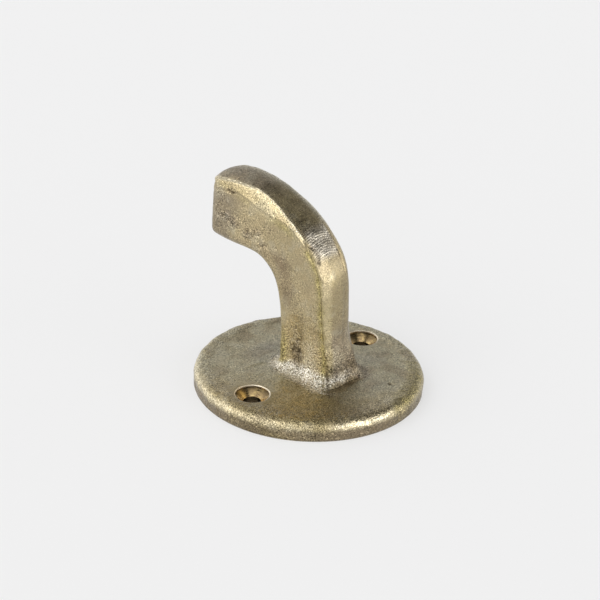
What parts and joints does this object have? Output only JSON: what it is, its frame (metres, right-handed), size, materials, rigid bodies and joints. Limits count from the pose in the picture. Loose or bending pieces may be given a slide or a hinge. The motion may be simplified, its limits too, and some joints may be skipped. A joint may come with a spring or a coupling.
{
  "type": "towel hook",
  "caption": "Cast brass wall hook: a round back plate with countersunk screw holes and a thick bent arm that ends in a blunt squared tip.",
  "frame": {"origin": "centre of the round plate's back face, where it meets the wall", "axes": "+Z out of the wall, along the arm's stem; +Y up the wall, the way the arm's tip points; +X along the line through the two screw holes"},
  "size_m": [0.055, 0.056, 0.0478],
  "materials": {
    "cast_brass": "aged, as-cast satin with a fine sand texture, rubbed brighter along edges"
  },
  "bodies": {
    "root": {"hook": "cast_brass"}
  },
  "joints": []
}
